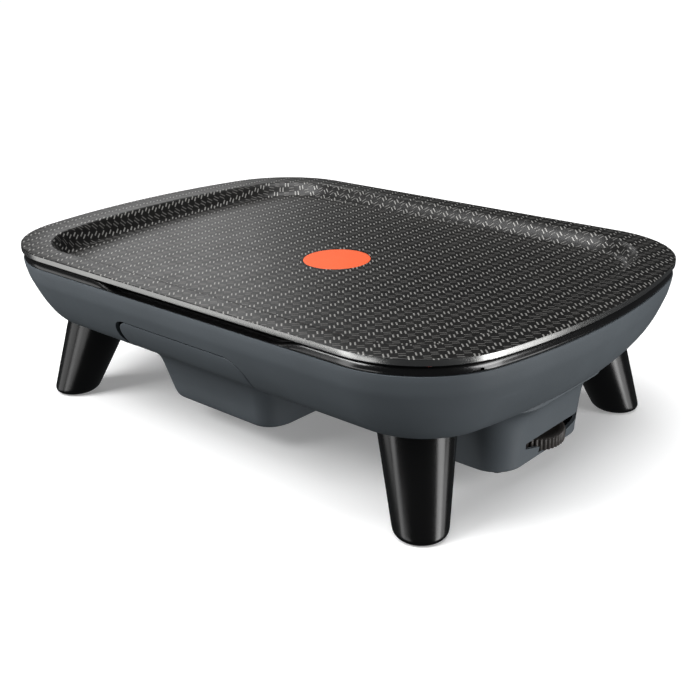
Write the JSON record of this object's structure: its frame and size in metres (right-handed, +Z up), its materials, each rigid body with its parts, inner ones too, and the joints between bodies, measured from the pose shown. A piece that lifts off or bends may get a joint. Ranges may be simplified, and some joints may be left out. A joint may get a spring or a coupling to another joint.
{
  "type": "electric plancha",
  "caption": "Electric plancha with a lift-off patterned plate, oval body on splayed legs, front drip drawer and thermostat thumbwheel.",
  "frame": {"origin": "on the worktop, under the middle of the cooking plate", "axes": "+X along the plate's length towards the thermostat housing, -Y the way the drip drawer pulls out, +Z up"},
  "size_m": [0.4376, 0.31, 0.12],
  "materials": {
    "plate": "non-stick coating with a fine pattern of short bars; bare polished metal at the edge",
    "indicator": "orange-red heat indicator print, satin",
    "shell": "matt blue-grey moulding with a fine grain",
    "gloss_black": "high-gloss black moulding",
    "wheel": "matt dark grey-brown, ribbed rim",
    "rubber": "matt black rubber",
    "silicone": "heat-proof silicone",
    "steel": "zinc-plated or stainless steel",
    "aluminised": "aluminised steel sheet",
    "element": "dull, heat-tinted sheath",
    "bakelite": "dark thermoset",
    "nylon": "natural white heat-proof moulding"
  },
  "bodies": {
    "base": {"body_shell": "shell", "control_housing": "shell", "housing_cover": "shell", "support_ring": "gloss_black", "leg_1": "gloss_black", "leg_2": "gloss_black", "leg_3": "gloss_black", "leg_4": "gloss_black", "foot_pad_1": "rubber", "foot_pad_2": "rubber", "foot_pad_3": "rubber", "foot_pad_4": "rubber", "cord_gland": "rubber", "plate_pad_1": "silicone", "plate_pad_2": "silicone", "plate_pad_3": "silicone", "plate_pad_4": "silicone", "supply_lead": "silicone", "live_lead": "silicone", "neutral_lead": "silicone", "leg_screw_1": "steel", "leg_screw_2": "steel", "leg_screw_3": "steel", "leg_screw_4": "steel", "cover_screw_1": "steel", "cover_screw_2": "steel", "cover_screw_3": "steel", "cover_screw_4": "steel", "bracket_screw_1": "steel", "bracket_screw_2": "steel", "thermostat_bracket": "steel", "probe_spring": "steel", "shield_post_1": "steel", "shield_post_2": "steel", "shield_post_3": "steel", "shield_post_4": "steel", "shield_screw_1": "steel", "shield_screw_2": "steel", "shield_screw_3": "steel", "shield_screw_4": "steel", "heat_shield": "aluminised", "heating_element": "element", "thermostat": "bakelite", "probe_guide": "bakelite", "thermal_cutout": "bakelite", "terminal_block": "nylon", "drawer_guide_left": "nylon", "drawer_guide_right": "nylon", "element_cradle_1": "nylon", "element_cradle_2": "nylon", "element_cradle_3": "nylon", "element_cradle_4": "nylon"},
    "plate": {"cooking_plate": "plate", "heat_indicator_disc": "indicator"},
    "drawer": {"drip_drawer": "shell"},
    "control": {"thumbwheel": "wheel", "control_shaft": "steel"},
    "probe": {"temperature_probe": "steel"}
  },
  "joints": [
    {"name": "plate_lift", "type": "slide", "parent": "base", "child": "plate", "axis": [0, 0, 1], "range_m": [0, 0.06]},
    {"name": "drawer_slide", "type": "slide", "parent": "base", "child": "drawer", "axis": [0, -1, 0], "range_m": [0, 0.08]},
    {"name": "wheel_turn", "type": "hinge", "parent": "base", "child": "control", "pos_m": [0.1625, 0.003, 0.0215], "axis": [0, 0, 1], "range_deg": [0, 270]},
    {"name": "probe_press", "type": "slide", "parent": "base", "child": "probe", "axis": [0, 0, 1], "range_m": [-0.003, 0], "stiffness_N_per_m": 600, "springref_m": 0.002, "deforming": ["probe_spring"]}
  ]
}
